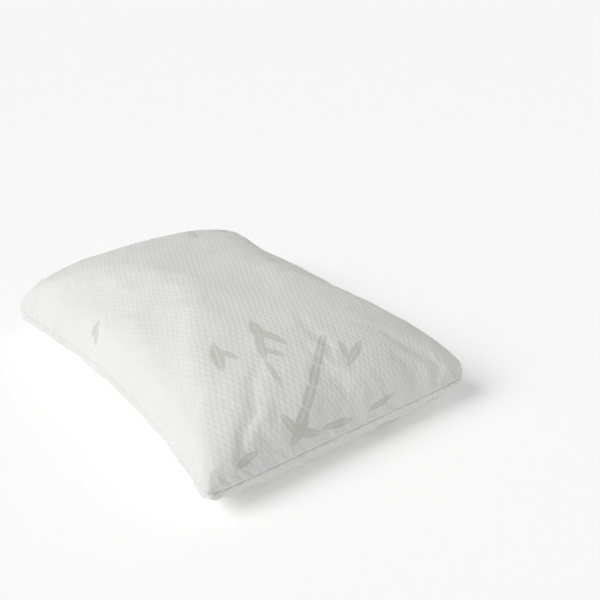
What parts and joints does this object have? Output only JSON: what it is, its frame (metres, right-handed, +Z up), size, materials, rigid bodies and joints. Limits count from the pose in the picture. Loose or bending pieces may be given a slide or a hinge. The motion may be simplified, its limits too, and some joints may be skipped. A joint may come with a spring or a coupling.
{
  "type": "bed pillow",
  "caption": "Rectangular bed pillow with a domed top: a zipped quilted-knit cover over a sewn inner case of shredded foam, with a sliding zip.",
  "frame": {"origin": "middle of the pillow's length and width, on the surface that it lies on", "axes": "+X along the pillow's length, away from the zip; +Y along its width; +Z up through the crown"},
  "size_m": [0.6434, 0.4484, 0.1681],
  "materials": {
    "cover_knit": "soft quilted knit",
    "sewing_thread": "spun thread",
    "zip_tape": "woven tape",
    "zip_coil": "satin",
    "slider_metal": "nickel plate",
    "label_satin": "satin ribbon",
    "inner_case_cloth": "plain weave",
    "shredded_foam": "open-cell foam"
  },
  "bodies": {
    "pillow": {"cover_top_panel": "cover_knit", "cover_bottom_panel": "cover_knit", "cover_seam_overlock": "sewing_thread", "zip_tape_upper": "zip_tape", "zip_tape_lower": "zip_tape", "zip_coil_upper": "zip_coil", "zip_coil_lower": "zip_coil", "zip_stitching_upper": "sewing_thread", "zip_stitching_lower": "sewing_thread", "zip_end_tacks": "sewing_thread", "care_label": "label_satin", "inner_case_top": "inner_case_cloth", "inner_case_bottom": "inner_case_cloth", "inner_case_seam_overlock": "sewing_thread", "inner_case_closing_stitch": "sewing_thread", "foam_fill": "shredded_foam"},
    "slider": {"zip_slider": "slider_metal"},
    "pull_tab": {"zip_pull_tab": "slider_metal"}
  },
  "joints": [
    {"name": "zip_slide", "type": "slide", "parent": "pillow", "child": "slider", "axis": [0, -1, 0], "range_m": [0, 0.342]},
    {"name": "pull_tab_pivot", "type": "hinge", "parent": "slider", "child": "pull_tab", "pos_m": [-0.3212, 0.171, 0.043], "axis": [0, 0, -1], "range_deg": [0, 170]}
  ]
}
